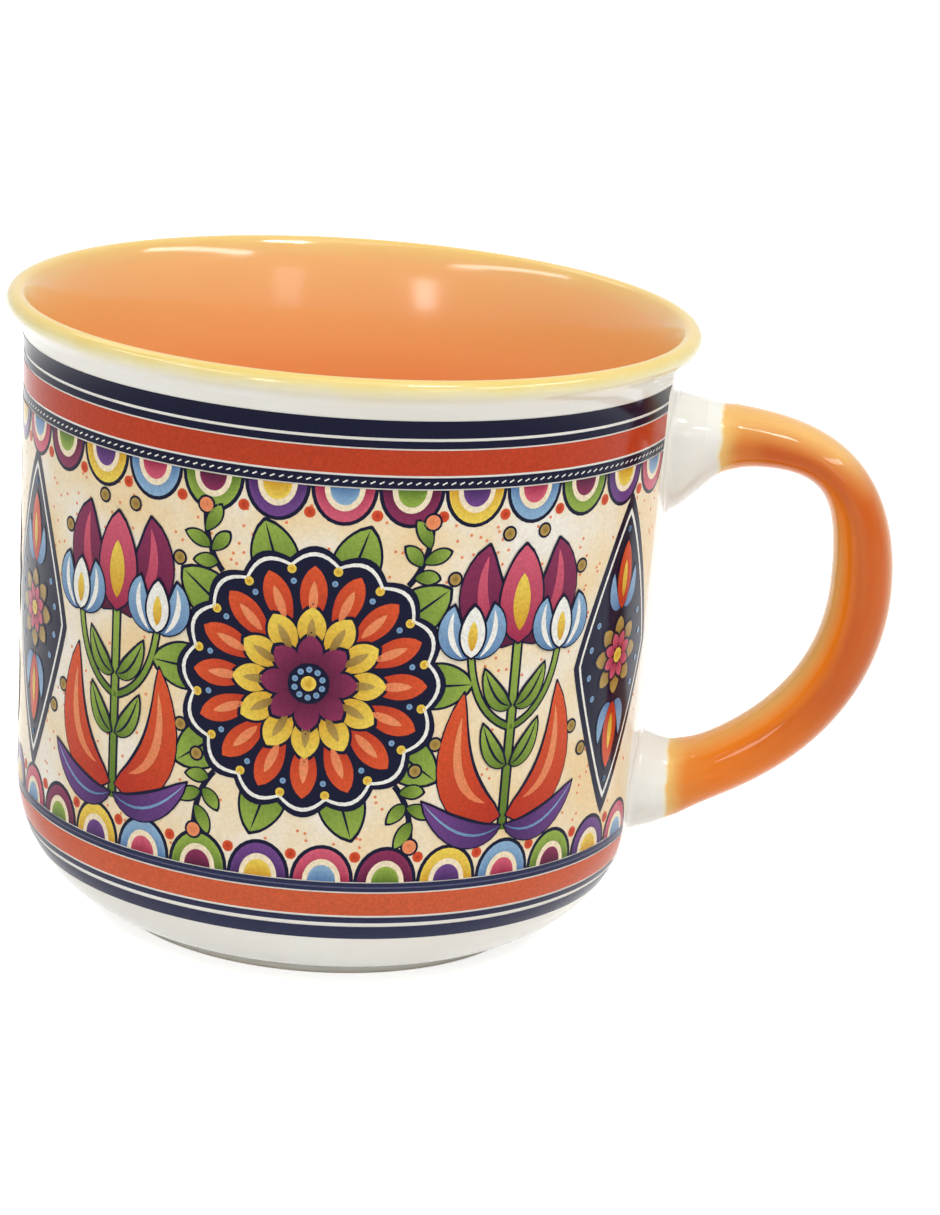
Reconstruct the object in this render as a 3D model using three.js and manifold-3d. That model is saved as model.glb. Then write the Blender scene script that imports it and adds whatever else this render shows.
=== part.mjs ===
// A porcelain mug: a turned cup with a flared lip, a cast ear handle luted on with slip, coloured glazes
// inside, on the lip and on the grip, and printed transfers round the wall.
// Millimetres. Z is up, the table is at z = 0 and the handle points along +X.
import * as THREE from "three";
import { mergeVertices } from "three/addons/utils/BufferGeometryUtils.js";
import Module from "manifold-3d";

const wasm = await Module();
wasm.setup();

// Cup
const CUP_HEIGHT = 83.95;
const WALL_RADIUS_UNDER_LIP = 43.65;
const WALL_RADIUS_AT_TABLE = 41.9;
const WALL_THICKNESS = 3.4;
const CORNER_RADIUS = 17.6;
const CORNER_LIFT = 0.6;
const FLOOR_THICKNESS = 4.6;
const INNER_CORNER_RADIUS = 13;

// Lip: a rounded bead that the wall flares out to, inside and outside
const LIP_FLARE = 2.35;
const LIP_FLARE_HEIGHT = 7.1;
const LIP_BEAD_RADIUS = 1.1;
const LIP_MOUTH_HEIGHT = 22;
const BEAD_OUTER_ANGLE = -36;
const BEAD_INNER_ANGLE = 140;
const FLARE_WALL_PULL = 2.6;
const FLARE_BEAD_PULL = 1.4;
const MOUTH_BEAD_PULL = 3.5;
const MOUTH_WALL_PULL = 12;

// Foot ring
const FOOT_RADIUS = 29;
const FOOT_WIDTH = 4;
const FOOT_ROUND = 0.4;
const FOOT_RECESS = 1.8;

// Handle: its centre line leaves the wall at the upper root, goes round the grip
// and comes back to the wall at the lower root.
const UPPER_ROOT_DROP = 13.1;
const LOWER_ROOT_HEIGHT = 20.1;
const HANDLE_REACH = 26.95;
const GRIP_DROP = 20.05;
const SHOULDER_ANGLE = -8;
const SHOULDER_PULL = 11.5;
const GRIP_UPPER_PULL = 23.5;
const GRIP_LOWER_PULL = 9.1;
const HEEL_ANGLE = 16;
const HEEL_PULL = 24.4;
const ROOT_BURY = 3.2;

// Handle section: an oval, slimmer at the shoulder, that flares to both roots and most on the finger side.
const GRIP_THICKNESS = 7.9;
const GRIP_WIDTH = 10.2;
const SHOULDER_SLIMMING = 2.25;
const SHOULDER_PLACE = 21.4;
const SHOULDER_SPAN = 10.7;
const UPPER_OUTER_FLARE = 0.75;
const UPPER_INNER_FLARE = 7.75;
const UPPER_FLARE_LENGTH = 5.3;
const LOWER_OUTER_FLARE = 1.45;
const LOWER_INNER_FLARE = 4.45;
const LOWER_FLARE_LENGTH = 5.55;
const ROOT_WIDTH = 14.6;
const SLIP_THICKNESS = 0.8;

// Glazes and transfers
const GLAZE_THICKNESS = 0.3;
const TRANSFER_THICKNESS = 0.16;
const BED = 0.05;
const SEAM = 0.3;
const RIM_GLAZE_DROP = 2;
const UPPER_GLAZE_START = 6;
const LOWER_GLAZE_START = 4.6;
const UPPER_STRIPES_DROP = 5.1;
const UPPER_STRIPES_HEIGHT = 8.6;
const LOWER_STRIPES_FOOT = 9.7;
const LOWER_STRIPES_HEIGHT = 8.25;
const BARE_STRIP_MARGIN = 3.4;

// Facets of the turned and lofted surfaces
const TURNS = 48;
const FOOT_FACETS = 2;
const CORNER_FACETS = 11;
const FLARE_FACETS = 6;
const BEAD_FACETS = 6;
const MOUTH_FACETS = 8;
const FLOOR_FACETS = 8;
const GRIP_SIDES = 20;
const GRIP_STATIONS = 44;

const LIP_RADIUS = WALL_RADIUS_UNDER_LIP + LIP_FLARE;
const UPPER_ROOT_HEIGHT = CUP_HEIGHT - UPPER_ROOT_DROP;

const WALL_LEAN = Math.atan2(WALL_RADIUS_UNDER_LIP - WALL_RADIUS_AT_TABLE, CUP_HEIGHT - LIP_FLARE_HEIGHT);

// Outside radius of the tapered wall at a height.
function wallRadius(z) {
  return WALL_RADIUS_AT_TABLE + z * Math.tan(WALL_LEAN);
}

// Points of an arc in the profile plane, between two angles in degrees.
function arc(centre, radius, from, to, count) {
  const points = [];
  for (let i = 0; i <= count; i++) {
    const angle = THREE.MathUtils.degToRad(from + ((to - from) * i) / count);
    points.push(new THREE.Vector2(centre.x + radius * Math.cos(angle), centre.y + radius * Math.sin(angle)));
  }
  return points;
}

// A fair curve from one point and direction to another.
function sweep(start, startPull, end, endPull, count) {
  const leaving = start.clone().add(startPull);
  const arriving = end.clone().sub(endPull);
  return new THREE.CubicBezierCurve(start, leaving, arriving, end).getPoints(count);
}

// Centre of the rounded lip bead.
function beadCentre() {
  return new THREE.Vector2(LIP_RADIUS - LIP_BEAD_RADIUS, CUP_HEIGHT - LIP_BEAD_RADIUS);
}

// Direction along the bead at an angle in degrees, turning from outside over the top to inside.
function beadHeading(angle, length) {
  const a = THREE.MathUtils.degToRad(angle);
  return new THREE.Vector2(-Math.sin(a), Math.cos(a)).multiplyScalar(length);
}

// Centre of a rounded corner that touches a wall, set in from the cup's outside, from within.
function cornerCentre(height, setIn, radius) {
  return new THREE.Vector2(wallRadius(height) - (setIn + radius) / Math.cos(WALL_LEAN), height);
}

// A step along the wall, up or down.
function alongWall(length) {
  return new THREE.Vector2(Math.sin(WALL_LEAN), Math.cos(WALL_LEAN)).multiplyScalar(length);
}

// The outside of the cup from the foot ring's edge to the top of the lip.
function outsideProfile() {
  const footRound = new THREE.Vector2(FOOT_RADIUS - FOOT_ROUND, FOOT_ROUND);
  const corner = cornerCentre(CORNER_LIFT + CORNER_RADIUS, 0, CORNER_RADIUS);
  const overFoot = THREE.MathUtils.clamp((FOOT_RADIUS - corner.x) / CORNER_RADIUS, 0.02, 0.95);
  const cornerStart = -THREE.MathUtils.radToDeg(Math.acos(overFoot));
  const cornerEnd = -THREE.MathUtils.radToDeg(WALL_LEAN);
  const flareStart = new THREE.Vector2(WALL_RADIUS_UNDER_LIP, CUP_HEIGHT - LIP_FLARE_HEIGHT);
  const bead = arc(beadCentre(), LIP_BEAD_RADIUS, BEAD_OUTER_ANGLE, 90, BEAD_FACETS);
  const intoBead = beadHeading(BEAD_OUTER_ANGLE, FLARE_BEAD_PULL);
  const flare = sweep(flareStart, alongWall(FLARE_WALL_PULL), bead[0], intoBead, FLARE_FACETS);
  return [
    ...arc(footRound, FOOT_ROUND, -90, 0, FOOT_FACETS),
    ...arc(corner, CORNER_RADIUS, cornerStart, cornerEnd, CORNER_FACETS),
    ...flare,
    ...bead.slice(1),
  ];
}

// The inside of the cup from the top of the lip to the middle of the floor.
function insideProfile() {
  const bead = arc(beadCentre(), LIP_BEAD_RADIUS, 90, BEAD_INNER_ANGLE, BEAD_FACETS);
  const throatHeight = CUP_HEIGHT - LIP_MOUTH_HEIGHT;
  const throatRadius = wallRadius(throatHeight) - WALL_THICKNESS / Math.cos(WALL_LEAN);
  const throat = new THREE.Vector2(throatRadius, throatHeight);
  const outOfBead = beadHeading(BEAD_INNER_ANGLE, MOUTH_BEAD_PULL);
  const mouth = sweep(bead[bead.length - 1], outOfBead, throat, alongWall(-MOUTH_WALL_PULL), MOUTH_FACETS);
  const floorHeight = FOOT_RECESS + FLOOR_THICKNESS;
  const corner = cornerCentre(floorHeight + INNER_CORNER_RADIUS, WALL_THICKNESS, INNER_CORNER_RADIUS);
  const floor = arc(corner, INNER_CORNER_RADIUS, -THREE.MathUtils.radToDeg(WALL_LEAN), -90, FLOOR_FACETS);
  return [...bead, ...mouth.slice(1), ...floor, new THREE.Vector2(0, floorHeight)];
}

// The underside from the middle of the recess to the foot ring's inner edge.
function undersideProfile() {
  const inner = FOOT_RADIUS - FOOT_WIDTH;
  const footRound = new THREE.Vector2(inner + FOOT_ROUND, FOOT_ROUND);
  return [
    new THREE.Vector2(0, FOOT_RECESS),
    new THREE.Vector2(inner - FOOT_RECESS, FOOT_RECESS),
    ...arc(footRound, FOOT_ROUND, 180, 270, FOOT_FACETS),
  ];
}

// The same profile moved sideways by a distance, to the right of its direction of travel.
function offset(profile, distance) {
  return profile.map((point, i) => {
    const before = profile[Math.max(i - 1, 0)];
    const after = profile[Math.min(i + 1, profile.length - 1)];
    const arriving = point.clone().sub(before).normalize();
    const leaving = after.clone().sub(point).normalize();
    const heading = arriving.clone().add(leaving).normalize();
    const side = i === 0 ? leaving : i === profile.length - 1 ? arriving : heading;
    const stretch = distance / Math.max(side.dot(i === 0 ? leaving : arriving), 0.5);
    return new THREE.Vector2(point.x + side.y * stretch, point.y - side.x * stretch);
  });
}

// The stretch of a rising or falling profile between two heights.
function between(profile, low, high) {
  const kept = [];
  for (let i = 0; i < profile.length - 1; i++) {
    const a = profile[i];
    const b = profile[i + 1];
    const rise = b.y - a.y;
    if (Math.abs(rise) < 1e-9) continue;
    const t0 = THREE.MathUtils.clamp(((rise > 0 ? low : high) - a.y) / rise, 0, 1);
    const t1 = THREE.MathUtils.clamp(((rise > 0 ? high : low) - a.y) / rise, 0, 1);
    if (t1 - t0 < 1e-6) continue;
    if (kept.length === 0) kept.push(a.clone().lerp(b, t0));
    kept.push(a.clone().lerp(b, t1));
  }
  return kept;
}

// A solid turned about the Z axis from a closed profile.
function turned(profile) {
  const geometry = new THREE.LatheGeometry([...profile, profile[0].clone()], TURNS);
  geometry.rotateX(Math.PI / 2);
  return geometry;
}

// A coat of even thickness laid over a stretch of profile.
function coat(profile, thickness) {
  return turned([...offset(profile, BED + thickness), ...offset(profile, BED).reverse()]);
}

function toSolid(geometry) {
  const bare = geometry.clone();
  bare.deleteAttribute("normal");
  bare.deleteAttribute("uv");
  const merged = mergeVertices(bare, 1e-4);
  const mesh = new wasm.Mesh({
    numProp: 3,
    vertProperties: new Float32Array(merged.attributes.position.array),
    triVerts: new Uint32Array(merged.index.array),
  });
  return new wasm.Manifold(mesh);
}

function toGeometry(solid) {
  const mesh = solid.getMesh();
  const geometry = new THREE.BufferGeometry();
  geometry.setAttribute("position", new THREE.BufferAttribute(new Float32Array(mesh.vertProperties), 3));
  geometry.setIndex(new THREE.BufferAttribute(new Uint32Array(mesh.triVerts), 1));
  geometry.computeVertexNormals();
  return geometry;
}

// The cup's outside grown by a clearance and filled solid, for seating what stands on the wall.
function seat(clearance) {
  const grown = offset(outsideProfile(), clearance);
  const top = new THREE.Vector2(0, grown[grown.length - 1].y);
  const bottom = new THREE.Vector2(0, grown[0].y);
  return toSolid(turned([bottom, ...grown, top]));
}

// Centre line of the handle, as two fair curves that meet at the furthest point of the grip.
function handleLine() {
  const at = (x, z) => new THREE.Vector3(x, 0, z);
  const upper = at(wallRadius(UPPER_ROOT_HEIGHT), UPPER_ROOT_HEIGHT);
  const lower = at(wallRadius(LOWER_ROOT_HEIGHT), LOWER_ROOT_HEIGHT);
  const grip = at(upper.x + HANDLE_REACH, UPPER_ROOT_HEIGHT - GRIP_DROP);
  const shoulder = THREE.MathUtils.degToRad(SHOULDER_ANGLE);
  const heel = THREE.MathUtils.degToRad(HEEL_ANGLE);
  const fromUpper = at(Math.cos(shoulder), Math.sin(shoulder));
  const fromLower = at(Math.cos(heel), Math.sin(heel));
  const upperPull = upper.clone().addScaledVector(fromUpper, SHOULDER_PULL);
  const lowerPull = lower.clone().addScaledVector(fromLower, HEEL_PULL);
  const line = new THREE.CurvePath();
  line.add(new THREE.LineCurve3(upper.clone().addScaledVector(fromUpper, -ROOT_BURY), upper));
  line.add(new THREE.CubicBezierCurve3(upper, upperPull, grip.clone().add(at(0, GRIP_UPPER_PULL)), grip));
  line.add(new THREE.CubicBezierCurve3(grip, grip.clone().sub(at(0, GRIP_LOWER_PULL)), lowerPull, lower));
  line.add(new THREE.LineCurve3(lower, lower.clone().addScaledVector(fromLower, -ROOT_BURY)));
  return line;
}

// A bell curve of height 1 at distance 0.
function bell(distance, length) {
  return Math.exp(-((distance / length) ** 2));
}

// The handle's half sizes: outwards, inwards to the fingers, and sideways. All flare towards both roots.
function gripSection(fromUpper, fromLower) {
  const upper = bell(Math.max(fromUpper, 0), UPPER_FLARE_LENGTH);
  const lower = bell(Math.max(fromLower, 0), LOWER_FLARE_LENGTH);
  const slimming = SHOULDER_SLIMMING * bell(fromUpper - SHOULDER_PLACE, SHOULDER_SPAN);
  const limb = (GRIP_THICKNESS - slimming) / 2;
  return {
    outer: limb + UPPER_OUTER_FLARE * upper + LOWER_OUTER_FLARE * lower,
    inner: limb + UPPER_INNER_FLARE * upper + LOWER_INNER_FLARE * lower,
    wide: (GRIP_WIDTH + (ROOT_WIDTH - GRIP_WIDTH) * (upper + lower)) / 2,
  };
}

// One oval ring of the handle, grown by a coat, at a station of its centre line.
function gripRing(line, station, coatThickness) {
  const u = station / GRIP_STATIONS;
  const length = line.getLength();
  const centre = line.getPoint(u);
  const tangent = line.getTangent(u);
  const outward = new THREE.Vector3(-tangent.z, 0, tangent.x);
  const size = gripSection(u * length - ROOT_BURY, (1 - u) * length - ROOT_BURY);
  const ring = [];
  for (let k = 0; k < GRIP_SIDES; k++) {
    const angle = (2 * Math.PI * k) / GRIP_SIDES;
    const side = (size.wide + coatThickness) * Math.sin(angle);
    const half = Math.cos(angle) > 0 ? size.outer : size.inner;
    const out = (half + coatThickness) * Math.cos(angle);
    ring.push(centre.clone().addScaledVector(outward, out).add(new THREE.Vector3(0, -side, 0)));
  }
  return ring;
}

// A skin through a row of rings. Closed rows meet their own start, open rows get flat caps.
// Rows that run back under the first ones have their facets split the other way, so that they lie on them.
function loft(rings, closed, backRow = rings.length) {
  const sides = rings[0].length;
  const points = rings.flat();
  const index = [];
  const rows = closed ? rings.length : rings.length - 1;
  for (let i = 0; i < rows; i++) {
    const here = i * sides;
    const next = ((i + 1) % rings.length) * sides;
    for (let k = 0; k < sides; k++) {
      const turn = (k + 1) % sides;
      const last = i < backRow ? next + k : next + turn;
      const first = i < backRow ? here + turn : here + k;
      index.push(here + k, here + turn, last, first, next + turn, next + k);
    }
  }
  if (!closed) {
    const last = (rings.length - 1) * sides;
    for (let k = 1; k < sides - 1; k++) {
      index.push(0, k + 1, k, last, last + k, last + k + 1);
    }
  }
  const geometry = new THREE.BufferGeometry().setFromPoints(points);
  geometry.setIndex(index);
  return geometry;
}

// The handle's whole loft, its ends buried in the wall.
function handleLoft(line) {
  const rings = [];
  for (let i = 0; i <= GRIP_STATIONS; i++) rings.push(gripRing(line, i, 0));
  return toSolid(loft(rings, false));
}

// The sleeve of glaze over the grip, between the bare roots.
function gripSleeve(line) {
  const length = line.getLength();
  const first = Math.round(((ROOT_BURY + UPPER_GLAZE_START) / length) * GRIP_STATIONS);
  const last = GRIP_STATIONS - Math.round(((ROOT_BURY + LOWER_GLAZE_START) / length) * GRIP_STATIONS);
  const outer = [];
  const inner = [];
  for (let i = first; i <= last; i++) {
    outer.push(gripRing(line, i, BED + GLAZE_THICKNESS));
    inner.push(gripRing(line, i, BED));
  }
  return loft([...outer, ...inner.reverse()], true, outer.length);
}

// A printed band round the wall, cut away where the handle stands.
function transfer(low, high) {
  const band = toSolid(coat(between(outsideProfile(), low, high), TRANSFER_THICKNESS));
  const bareWidth = ROOT_WIDTH + 2 * BARE_STRIP_MARGIN;
  const reach = LIP_RADIUS * 2;
  const strip = wasm.Manifold.cube([reach, bareWidth, CUP_HEIGHT * 2], true);
  return toGeometry(band.subtract(strip.translate([reach / 2, 0, CUP_HEIGHT / 2])));
}

// The lip's band of glaze, from inside the crest over the bead to the flare.
function rimGlaze() {
  const top = CUP_HEIGHT - RIM_GLAZE_DROP;
  const outside = between(outsideProfile(), top, CUP_HEIGHT);
  const inside = between(insideProfile(), top, CUP_HEIGHT);
  return coat([...outside, ...inside.slice(1)], GLAZE_THICKNESS);
}

// The inside coat, from under the lip's band down the wall and over the floor.
function interiorGlaze() {
  const top = CUP_HEIGHT - RIM_GLAZE_DROP - SEAM;
  const inside = insideProfile();
  const floor = inside[inside.length - 1];
  return coat([...between(inside, floor.y, top), floor], GLAZE_THICKNESS);
}

const PORCELAIN = new THREE.MeshStandardMaterial({ color: 0xf6f3ec, roughness: 0.18, metalness: 0 });
const SLIP = new THREE.MeshStandardMaterial({ color: 0xf1ede4, roughness: 0.25, metalness: 0 });
const ORANGE_INSIDE = new THREE.MeshStandardMaterial({ color: 0xec955a, roughness: 0.15, metalness: 0 });
const YELLOW_LIP = new THREE.MeshStandardMaterial({ color: 0xf2d582, roughness: 0.15, metalness: 0 });
const ORANGE_GRIP = new THREE.MeshStandardMaterial({ color: 0xdf7d2e, roughness: 0.15, metalness: 0 });
const STRIPE_NAVY = new THREE.MeshStandardMaterial({ color: 0x2b2f5e, roughness: 0.22, metalness: 0 });
const STRIPE_RED = new THREE.MeshStandardMaterial({ color: 0xcf5531, roughness: 0.22, metalness: 0 });
const PRINT_CREAM = new THREE.MeshStandardMaterial({ color: 0xf3e3c6, roughness: 0.22, metalness: 0 });

const mug = new THREE.Group();
mug.name = "mug";

// The cup's axis stands back from the middle of the whole mug, which its handle pulls towards +X.
const ware = new THREE.Group();
ware.name = "ware";
const line = handleLine();
const sleeve = gripSleeve(line);
sleeve.computeBoundingBox();
const lipOutside = LIP_RADIUS + BED + GLAZE_THICKNESS;
ware.position.x = (lipOutside - sleeve.boundingBox.max.x) / 2;
mug.add(ware);

function addPiece(name, geometry, material) {
  const piece = new THREE.Mesh(geometry, material);
  piece.name = name;
  ware.add(piece);
}

const buried = handleLoft(line);
const slipShell = seat(SLIP_THICKNESS).subtract(seat(BED));
const pads = buried.intersect(slipShell).decompose();
const middle = (UPPER_ROOT_HEIGHT + LOWER_ROOT_HEIGHT) / 2;
const heightOf = (solid) => (solid.boundingBox().min[2] + solid.boundingBox().max[2]) / 2;
const upperPad = pads.find((pad) => heightOf(pad) > middle);
const lowerPad = pads.find((pad) => heightOf(pad) < middle);

const upperStripesTop = CUP_HEIGHT - UPPER_STRIPES_DROP;
const upperStripesFoot = upperStripesTop - UPPER_STRIPES_HEIGHT;
const lowerStripesTop = LOWER_STRIPES_FOOT + LOWER_STRIPES_HEIGHT;

const cupProfile = [...undersideProfile(), ...outsideProfile(), ...insideProfile().slice(1)];

addPiece("cup_body", turned(cupProfile), PORCELAIN);
addPiece("handle", toGeometry(buried.subtract(seat(SLIP_THICKNESS + BED))), PORCELAIN.clone());
addPiece("upper_slip_joint", toGeometry(upperPad), SLIP);
addPiece("lower_slip_joint", toGeometry(lowerPad), SLIP.clone());
addPiece("interior_glaze", interiorGlaze(), ORANGE_INSIDE);
addPiece("rim_glaze", rimGlaze(), YELLOW_LIP);
addPiece("handle_glaze", sleeve, ORANGE_GRIP);
addPiece("upper_stripe_transfer", transfer(upperStripesFoot, upperStripesTop), STRIPE_NAVY);
addPiece("picture_transfer", transfer(lowerStripesTop + SEAM, upperStripesFoot - SEAM), PRINT_CREAM);
addPiece("lower_stripe_transfer", transfer(LOWER_STRIPES_FOOT, lowerStripesTop), STRIPE_RED);

export default mug;
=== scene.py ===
"""The looks of a porcelain mug: cup and ear handle, coloured glazes, printed stripes and a flower print."""

import bmesh
import bpy
import numpy as np
from mathutils import Matrix, Vector


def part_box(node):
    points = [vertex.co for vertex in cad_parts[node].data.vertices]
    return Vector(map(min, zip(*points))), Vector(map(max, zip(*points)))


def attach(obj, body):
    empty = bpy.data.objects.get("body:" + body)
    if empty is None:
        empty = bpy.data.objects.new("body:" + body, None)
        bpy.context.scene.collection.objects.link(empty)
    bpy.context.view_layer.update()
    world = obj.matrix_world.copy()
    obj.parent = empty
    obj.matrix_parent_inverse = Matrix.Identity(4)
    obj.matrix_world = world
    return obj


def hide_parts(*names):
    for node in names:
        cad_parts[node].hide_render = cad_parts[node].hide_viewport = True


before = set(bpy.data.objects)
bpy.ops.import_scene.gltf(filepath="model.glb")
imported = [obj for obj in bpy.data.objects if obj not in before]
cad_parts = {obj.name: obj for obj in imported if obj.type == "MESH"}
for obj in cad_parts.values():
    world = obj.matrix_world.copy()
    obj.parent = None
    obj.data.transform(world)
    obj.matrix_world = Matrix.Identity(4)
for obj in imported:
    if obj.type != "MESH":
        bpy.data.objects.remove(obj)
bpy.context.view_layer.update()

# Sizes are in millimetres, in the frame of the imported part. Meshes are made in metres.
MM = 0.001
CUP_LOW, CUP_HIGH = (np.array(corner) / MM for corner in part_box("cup_body"))
AXIS_X = (CUP_LOW[0] + CUP_HIGH[0]) / 2
CUP_HEIGHT = CUP_HIGH[2]

# Cup profile
WALL_RADIUS_UNDER_LIP = 43.65
WALL_RADIUS_AT_TABLE = 41.9
WALL_THICKNESS = 3.4
CORNER_RADIUS = 17.6
CORNER_LIFT = 0.6
FLOOR_HEIGHT = 6.4
INNER_CORNER_RADIUS = 13
LIP_FLARE = 2.35
LIP_FLARE_HEIGHT = 7.1
LIP_BEAD_RADIUS = 1.1
LIP_MOUTH_HEIGHT = 22
BEAD_OUTER_ANGLE = -36
BEAD_INNER_ANGLE = 140
FLARE_WALL_PULL = 2.6
FLARE_BEAD_PULL = 1.4
MOUTH_BEAD_PULL = 3.5
MOUTH_WALL_PULL = 12
FOOT_RADIUS = 29
FOOT_WIDTH = 4
FOOT_ROUND = 0.4
FOOT_RECESS = 1.8
LIP_RADIUS = WALL_RADIUS_UNDER_LIP + LIP_FLARE
WALL_LEAN = np.arctan2(WALL_RADIUS_UNDER_LIP - WALL_RADIUS_AT_TABLE, CUP_HEIGHT - LIP_FLARE_HEIGHT)

# Handle
UPPER_ROOT_HEIGHT = CUP_HEIGHT - 13.1
LOWER_ROOT_HEIGHT = 20.1
HANDLE_REACH = 26.95
GRIP_DROP = 20.05
SHOULDER_ANGLE = np.radians(-8)
SHOULDER_PULL = 11.5
GRIP_UPPER_PULL = 23.5
GRIP_LOWER_PULL = 9.1
HEEL_ANGLE = np.radians(16)
HEEL_PULL = 24.4
ROOT_BURY = 3.2
GRIP_THICKNESS = 7.9
GRIP_WIDTH = 10.2
SHOULDER_SLIMMING = 2.25
SHOULDER_PLACE = 21.4
SHOULDER_SPAN = 10.7
UPPER_OUTER_FLARE = 0.75
UPPER_INNER_FLARE = 7.75
UPPER_FLARE_LENGTH = 5.3
LOWER_OUTER_FLARE = 1.45
LOWER_INNER_FLARE = 4.45
LOWER_FLARE_LENGTH = 5.55
ROOT_WIDTH = 14.6
FILLET = 1.2
FILLET_PULL = 0.8
FILLET_BED = 0.01

# Coats
GLAZE_THICKNESS = 0.3
COAT_BED = 0.005
LAP_STEP = 0.02
FLARE_EDGE_LIFT = 0.01
LIP_COAT_DROP = 4.4
LIP_COAT_FADE = 3.8
LIP_COAT_REACH = 3.2
LIP_COAT_LAP = 1
UPPER_GLAZE_START = 4
LOWER_GLAZE_START = 2.2
UPPER_DIP_LINE = 49.6
LOWER_DIP_LINE = 46.2
GRIP_GLAZE_FADE = 2.5
FRINGE = (-1, 9)
PRINT_LIFT = 0.03
INK_LIFT = 0.02
DRY_ROUGHNESS = 0.75
INK_GLOSS = 0.1
GRIP_GLOSS = 0.22
STREAKS_ACROSS = 5
STREAKS_ALONG = 9

# Print
PRINT_RADIUS = 44
BARE_STRIP = 10.7
PRINT_FOOT = 17.9
PRINT_TOP = 70
UPPER_STRIPES = {"navy": ((78.92, 76.62), (76.24, 75.3), (71.58, 70.17)), "stripe_red": ((75.1, 71.86),)}
# The lower stripes' navy and red are the paler copies of the upper inks, painted reflection.
LOWER_STRIPES = {
    "foot_navy": ((17.75, 17.22), (17.04, 16.53), (12.74, 11.88), (11.27, 9.23)),
    "foot_red": ((16.32, 13.06),),
    "slate": ((17.22, 17.04),),
}

# Studio
ROOM_LIGHT = (0.2, 0.58)
FLOOR_LIFT = 0.66
FLOOR_REACH = 6.0
# Lamps: place and size in metres, and power in watts
LAMPS = {
    "right_lamp": ((0.66, -0.15, 0.7), (0.68, 0.09), 2.0),
    "left_lamp": ((-0.634, -0.296, 0.7), (0.75, 0.07), 1.5),
    "top_lamp": ((0.05, -0.1, 0.95), (0.45, 0.45), 1.0),
    "right_window": ((0.515, -0.857, 0.4), (0.2, 0.38), 0.5),
    "left_window": ((-0.407, -0.914, 0.38), (0.15, 0.28), 1.1),
    "back_lamp": ((-0.45, 0.55, 0.8), (0.4, 0.3), 0.6),
    "high_spot": ((0.3, -0.29, 0.935), (0.2, 0.1), 1.9),
}

# Camera
CAMERA_ROUND = np.radians(4)
CAMERA_DISTANCE = 508.77
CAMERA_HEIGHT = 190.62
CAMERA_TURN = np.radians(1.97)
CAMERA_PITCH = np.radians(16.167)
CAMERA_ROLL = np.radians(4.118)
CAMERA_LENS = 115.3
CAMERA_SENSOR = 36
CAMERA_CLIP = 0.01

# Meshes
TURNS = 256
RING_SIDES = 64
CAST_RINGS = 200
SLEEVE_RINGS = 600
FILLET_RINGS = 700
FILLET_START_RING = 9
FILLET_HEADING_RING = 7
FILLET_STEPS = 14
BAND_STEPS = 300
GROUND_ROWS = 30
SHARP_EDGE = np.radians(40)
WELD_DISTANCE = 1e-7


def linear(red, green, blue):
    """A colour from a scale of 0 to 255, as the light it stands for: ((c + 0.055) / 1.055) ** 2.4."""
    c = np.array([red, green, blue]) / 255
    return tuple(np.where(c < 0.04045, c / 12.92, ((c + 0.055) / 1.055) ** 2.4)) + (1.0,)


WHITE = linear(244, 242, 233)
NAVY = linear(13, 16, 48)
# The lower stripes' navy here and red below are paler copies of the upper inks: painted reflection of the
# bright surroundings.
REFLECTION_PALED_NAVY = linear(42, 46, 78)
RED = linear(192, 64, 32)
REFLECTION_PALED_RED = linear(214, 96, 58)
SLATE = linear(92, 94, 124)
CREAM = linear(246, 229, 196)


# Meshes

def grid_faces(rows, cols, closed_rows=False, closed_cols=False):
    """Corners of a grid's quads: (i, j) joins its neighbours, and a closed direction meets itself."""
    last_row = rows - (not closed_rows)
    last_col = cols - (not closed_cols)
    i, j = np.meshgrid(np.arange(last_row), np.arange(last_col), indexing="ij")
    step_i = np.stack([i, i + 1, i + 1, i], -1).reshape(-1, 4)
    step_j = np.stack([j, j, j + 1, j + 1], -1).reshape(-1, 4)
    return step_i, step_j


def make_mesh(name, points, faces, uv, normals=None):
    """A mesh of points in millimetres about the cup's axis, with one map place for each face corner."""
    mesh = bpy.data.meshes.new(name)
    mesh.from_pydata((points + [AXIS_X, 0, 0]) * MM, [], faces)
    layer = mesh.uv_layers.new(name="OFBake")
    layer.data.foreach_set("uv", np.ascontiguousarray(uv, dtype=np.float32).ravel())
    mesh.shade_smooth()
    if normals is not None:
        mesh.normals_split_custom_set_from_vertices(normals)
    return mesh


def add_piece(mesh, node, material):
    """Puts a mesh in the scene as a piece that stands for a node of the part."""
    piece = bpy.data.objects.new(mesh.name, mesh)
    bpy.context.scene.collection.objects.link(piece)
    mesh.materials.append(material)
    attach(piece, "root")
    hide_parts(node)
    return piece


def grid_mesh(name, grid, closed_rows=False, closed_cols=False):
    """A skin over grid[i, j]; the map's u follows j and its v follows i, both from 0 to 1."""
    rows, cols = grid.shape[:2]
    step_i, step_j = grid_faces(rows, cols, closed_rows, closed_cols)
    faces = (step_i % rows) * cols + step_j % cols
    uv = np.stack([step_j / (cols - (not closed_cols)), step_i / (rows - (not closed_rows))], -1)
    mesh = make_mesh(name, grid.reshape(-1, 3), faces, uv)
    mesh.set_sharp_from_angle(angle=SHARP_EDGE)
    return mesh


# Cup profiles

def unit(arrows):
    """Arrows divided by their lengths."""
    return arrows / np.linalg.norm(arrows, axis=-1, keepdims=True)


def arc(centre, radius, start, stop, count):
    """Points at even angles, in degrees, round a centre in the (radius, height) plane."""
    angle = np.radians(np.linspace(start, stop, count))
    return np.array(centre) + radius * np.stack([np.cos(angle), np.sin(angle)], -1)


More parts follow.
